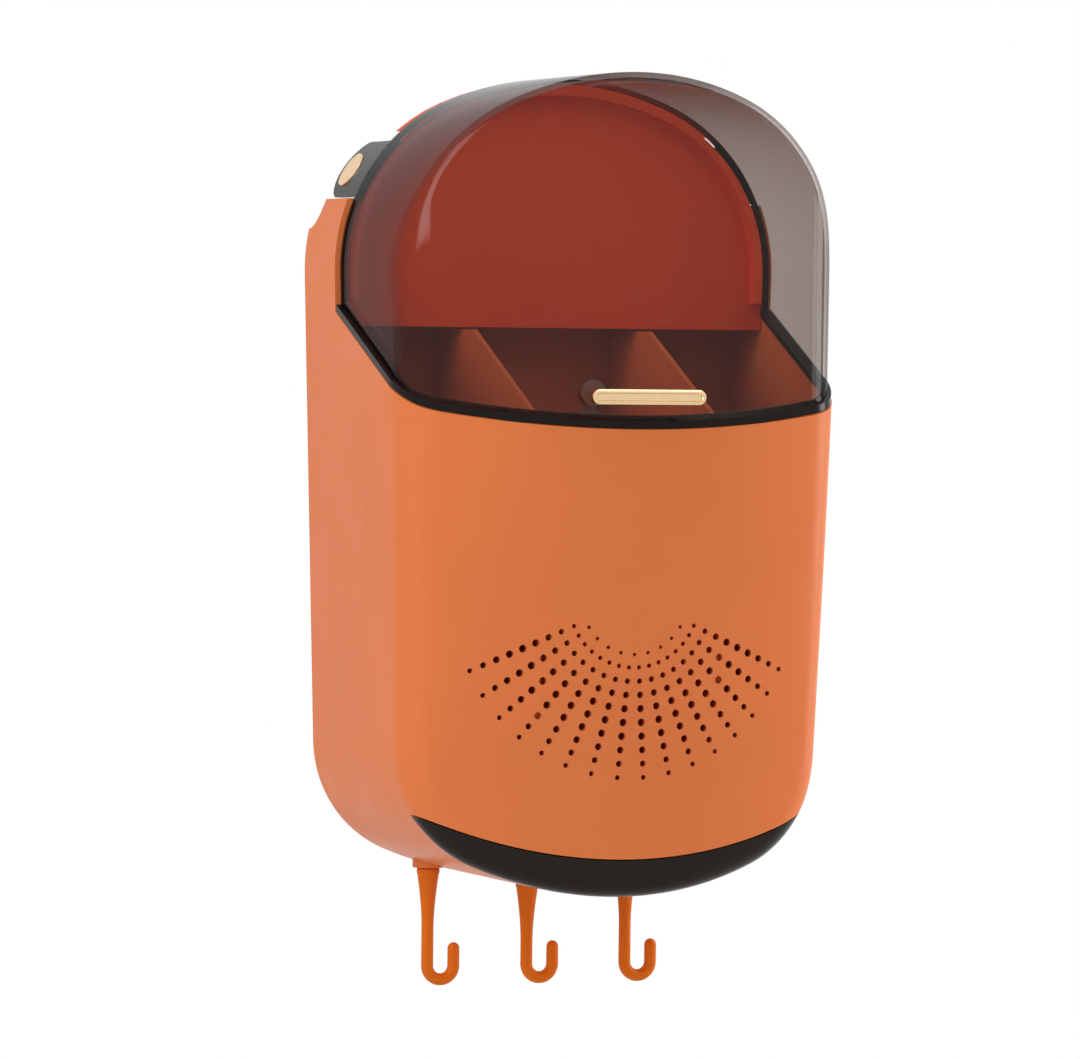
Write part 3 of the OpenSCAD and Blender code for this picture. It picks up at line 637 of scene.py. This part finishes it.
def handle():
    """Brass bar with softened edges and a groove along its face, on two posts."""
    post_d = front_d(POST_PITCH / 2, LID_INSET)
    h, face = RIM_FRONT_H + BAR_UP, post_d + BAR_REACH
    steps = [(0.5, BAR_T), (0.12, BAR_T - 0.15), (0, BAR_T - 0.5), (0, 0.6), (0.14, 0.2), (0.5, 0.02)]
    steps += [(1.5, 0.02), (1.7, 0.25), (1.8, 1.0)]
    rings = [[place(x, face - down, h + z) for x, z in stadium(inset)] for inset, down in steps]
    bar = skin("handle_bar_piece", rings)
    for side in (-1, 1):
        x = side * POST_PITCH / 2
        join(bar, rod("post", (x, post_d + 0.15, h), (x, face - BAR_T / 2, h), POST_R))
        cut(bar, rod("bore", (x, post_d - 1, h), (x, post_d + 6, h), POST_BORE))
    finish_piece(bar, "lid", "brass", BRASS, "handle_bar")


# Drip tray
def tray():
    """Near-black tray: the crescent front flush with the shell, and the pan behind it."""
    face = rounded_solid("tray", 0, True)
    keep(face, crescent("crescent", SLIDE_GAP, FACE_BACK_D, BODY_D + 10))
    cut(face, rounded_solid("behind_face", WALL + FACE_BACK, True), column("deep", FOOT_FILLET, True))
    t = WALL + SLIDE_GAP
    pan = rounded_solid("pan", t, True, 10.0)
    keep(pan, crescent("pan_space", SLIDE_GAP, TRAY_BACK_D, BODY_D))
    inside = rounded_solid("pan_inside", t + TRAY_WALL, True, 10.0)
    keep(inside, block("pan_back", (-FAR, FAR), (TRAY_BACK_D + TRAY_WALL, FAR), (-FAR, FAR)))
    cut(pan, inside)
    join(face, pan)
    return finish_piece(face, "tray", "tray_smoke", TRAY, "drip_tray")


# Hooks
def hook_path(x):
    """Middle line and radius of a hook from under its boss to its tip, as x, height and radius."""
    top = sole_h(x) - BOSS_DROP - SEAT_GAP
    bend_h = -HOOK_DROP + STEM_R + BEND_R
    path = [(x, top, COLLAR_R - 0.4), (x, top - 0.25, COLLAR_R - 0.1), (x, top - 0.6, COLLAR_R)]
    path += [(x, top - 1.8, COLLAR_R), (x, top - 2.2, COLLAR_R - 0.2)]
    for i in range(1, TAPER_STEPS + 1):
        share = i / TAPER_STEPS
        ease = (1 - share) ** 1.7
        path.append((x, top - 2.2 - COLLAR_L * share, STEM_R + (COLLAR_R - 0.2 - STEM_R) * ease))
    path += [(x, h, STEM_R) for _, h in line((0, path[-1][1]), (0, bend_h), 4)]
    path += [(px, h, STEM_R) for px, h in arc(x + BEND_R, bend_h, BEND_R, 180, 360, 28)]
    tip_x, tip_h = x + 2 * BEND_R, -HOOK_DROP + TIP_UP - STEM_R
    path += [(tip_x, h, STEM_R) for _, h in line((0, bend_h), (0, tip_h), 4)]
    for i in range(1, TIP_STEPS):
        turn = math.pi / 2 * i / TIP_STEPS
        path.append((tip_x, tip_h + STEM_R * math.sin(turn), STEM_R * math.cos(turn)))
    return path


def hook(side, word):
    """Hook: shank in the boss, collar, taper, bend and round tip in one swept piece."""
    x = side * HOOK_PITCH
    path = hook_path(x)
    rings = []
    for i, (px, h, r) in enumerate(path):
        before, after = path[max(0, i - 1)], path[min(len(path) - 1, i + 1)]
        along = Vector((after[0] - before[0], after[1] - before[1])).normalized()
        ring = []
        for k in range(HOOK_SIDES):
            a = 2 * math.pi * k / HOOK_SIDES
            side_way = r * math.cos(a)
            ring.append(place(px - along.y * side_way, HOOK_D + r * math.sin(a), h + along.x * side_way))
        rings.append(ring)
    piece = skin("hook_piece_" + word, rings, tip=place(path[-1][0], HOOK_D, -HOOK_DROP + TIP_UP))
    top = sole_h(x) - BOSS_DROP - SEAT_GAP
    shank = rod("shank", (x, HOOK_D, top - 1), (x, HOOK_D, top + BOSS_H + 2 * SEAT_GAP + 2.2), STEM_R)
    join(piece, shank)
    finish_piece(piece, "hook_" + word, "hook", HOOK, "hook_" + word)


# Pieces kept as the frame has them
def dress_frame_nodes():
    """Gives the frame's own pieces their materials."""
    looks = {"back_panel_screws": STEEL, "handle_screws": STEEL, "lid_bumpers": BUMPER, "back_panel": PANEL}
    looks.update({"divider_left": DIVIDER, "divider_right": DIVIDER, "drain_grid": DIVIDER})
    looks.update({"wall_plate": PLATE, "adhesive_pad": PAD})
    for word in ("left", "right"):
        looks["hinge_pin_" + word] = STEEL
        looks["hinge_washer_" + word] = WASHER
    for word in ("left", "centre", "right"):
        looks["hook_clip_" + word] = STEEL
    for name, material in looks.items():
        node = frame["nodes"][name]
        node.data.materials.clear()
        node.data.materials.append(material)
        smooth(node, 20)


# Studio
def light_paths(tree, wanted):
    """One factor that is 1 on any of the wanted kinds of ray."""
    paths = tree.nodes.new("ShaderNodeLightPath")
    total = paths.outputs[wanted[0]]
    for name in wanted[1:]:
        larger = tree.nodes.new("ShaderNodeMath")
        larger.operation = "MAXIMUM"
        tree.links.new(total, larger.inputs[0])
        tree.links.new(paths.outputs[name], larger.inputs[1])
        total = larger.outputs[0]
    return total


def world():
    """Soft grey light all round, and plain white where a ray sees past the object."""
    sky = bpy.data.worlds.new("studio")
    bpy.context.scene.world = sky
    sky.use_nodes = True
    tree = sky.node_tree
    seen = light_paths(tree, ("Is Camera Ray", "Is Glossy Ray", "Is Transmission Ray"))
    backdrop = tree.nodes.new("ShaderNodeBackground")
    backdrop.inputs["Color"].default_value = (1, 1, 1, 1)
    backdrop.inputs["Strength"].default_value = 1.0
    ambient = tree.nodes["Background"]
    ambient.inputs["Color"].default_value = (1, 0.985, 0.965, 1)
    ambient.inputs["Strength"].default_value = 0.38
    mixed = tree.nodes.new("ShaderNodeMixShader")
    tree.links.new(seen, mixed.inputs["Fac"])
    tree.links.new(ambient.outputs[0], mixed.inputs[1])
    tree.links.new(backdrop.outputs[0], mixed.inputs[2])
    tree.links.new(mixed.outputs[0], tree.nodes["World Output"].inputs["Surface"])


def floor():
    """Pale floor under the hooks, which turns plain white away from the object."""
    z, half = -0.34, 6.0
    corners = [(-half, -half, z), (half, -half, z), (half, half, z), (-half, half, z)]
    mesh = bpy.data.meshes.new("floor")
    mesh.from_pydata(corners, [], [(0, 1, 2, 3)])
    obj = bpy.data.objects.new("floor", mesh)
    bpy.context.scene.collection.objects.link(obj)
    material, tree, shader = new_material("floor_paint")
    shader.inputs["Base Color"].default_value = (0.86, 0.86, 0.86, 1)
    shader.inputs["Roughness"].default_value = 0.9
    where = tree.nodes.new("ShaderNodeTexCoord")
    gap = tree.nodes.new("ShaderNodeVectorMath")
    gap.operation = "LENGTH"
    tree.links.new(where.outputs["Object"], gap.inputs[0])
    fade = tree.nodes.new("ShaderNodeMapRange")
    fade.inputs["From Min"].default_value = 0.36
    fade.inputs["From Max"].default_value = 0.62
    fade.inputs["To Min"].default_value = 0.35
    fade.inputs["To Max"].default_value = 1.0
    fade.interpolation_type = "SMOOTHSTEP"
    tree.links.new(gap.outputs["Value"], fade.inputs["Value"])
    seen = light_paths(tree, ("Is Camera Ray", "Is Glossy Ray", "Is Transmission Ray"))
    factor = tree.nodes.new("ShaderNodeMath")
    factor.operation = "MULTIPLY"
    tree.links.new(fade.outputs["Result"], factor.inputs[0])
    tree.links.new(seen, factor.inputs[1])
    white = tree.nodes.new("ShaderNodeEmission")
    white.inputs["Color"].default_value = (1, 1, 1, 1)
    white.inputs["Strength"].default_value = 1.0
    mixed = tree.nodes.new("ShaderNodeMixShader")
    tree.links.new(factor.outputs[0], mixed.inputs["Fac"])
    tree.links.new(shader.outputs[0], mixed.inputs[1])
    tree.links.new(white.outputs[0], mixed.inputs[2])
    tree.links.new(mixed.outputs[0], tree.nodes["Material Output"].inputs["Surface"])
    obj.data.materials.append(material)


def softbox(name, azimuth, elevation, distance, size, power):
    """An area lamp at an angle round the object, azimuth 0 in front and positive to the right."""
    a, e = math.radians(azimuth), math.radians(elevation)
    way = Vector((math.sin(a) * math.cos(e), -math.cos(a) * math.cos(e), math.sin(e)))
    lamp = bpy.data.lights.new(name, "AREA")
    lamp.shape = "RECTANGLE"
    lamp.size, lamp.size_y = size
    lamp.energy = power
    obj = bpy.data.objects.new(name, lamp)
    obj.location = Vector((0, -0.07, -0.02)) + way * distance
    obj.rotation_euler = way.to_track_quat("Z", "Y").to_euler()
    bpy.context.scene.collection.objects.link(obj)


def lights():
    """Three soft lamps: a key on the left, a weak one in front and one for the right edge."""
    softbox("key", -66, 24, 1.6, (0.8, 1.2), 15)
    softbox("front", 22, 34, 1.9, (1.1, 0.9), 6)
    softbox("edge", 86, 12, 1.3, (0.35, 1.3), 13)


def camera():
    """Camera at the photograph's viewing angle: left of the front and a little above."""
    azimuth, elevation, roll = math.radians(20.1), math.radians(1.53), math.radians(0.64)
    distance, target = 2.9, Vector((-0.0096, -0.055, -0.0555))
    back = Vector((-math.sin(azimuth) * math.cos(elevation), -math.cos(azimuth) * math.cos(elevation),
                   math.sin(elevation)))
    level = Vector((math.cos(azimuth), -math.sin(azimuth), 0))
    up = back.cross(level)
    right = level * math.cos(roll) + up * math.sin(roll)
    top = up * math.cos(roll) - level * math.sin(roll)
    lens = bpy.data.cameras.new("camera")
    lens.lens, lens.sensor_width, lens.sensor_fit = 237.7, 36.0, "HORIZONTAL"
    obj = bpy.data.objects.new("camera", lens)
    turned = Matrix((right, top, back)).transposed().to_4x4()
    obj.matrix_world = Matrix.Translation(target + back * distance) @ turned
    bpy.context.scene.collection.objects.link(obj)
    bpy.context.scene.camera = obj


camera()
world()
floor()
lights()
bpy.context.scene.view_settings.view_transform = "Standard"
shell()
lid()
caps()
handle()
tray()
for hook_side, hook_word in ((-1, "left"), (0, "centre"), (1, "right")):
    hook(hook_side, hook_word)
dress_frame_nodes()
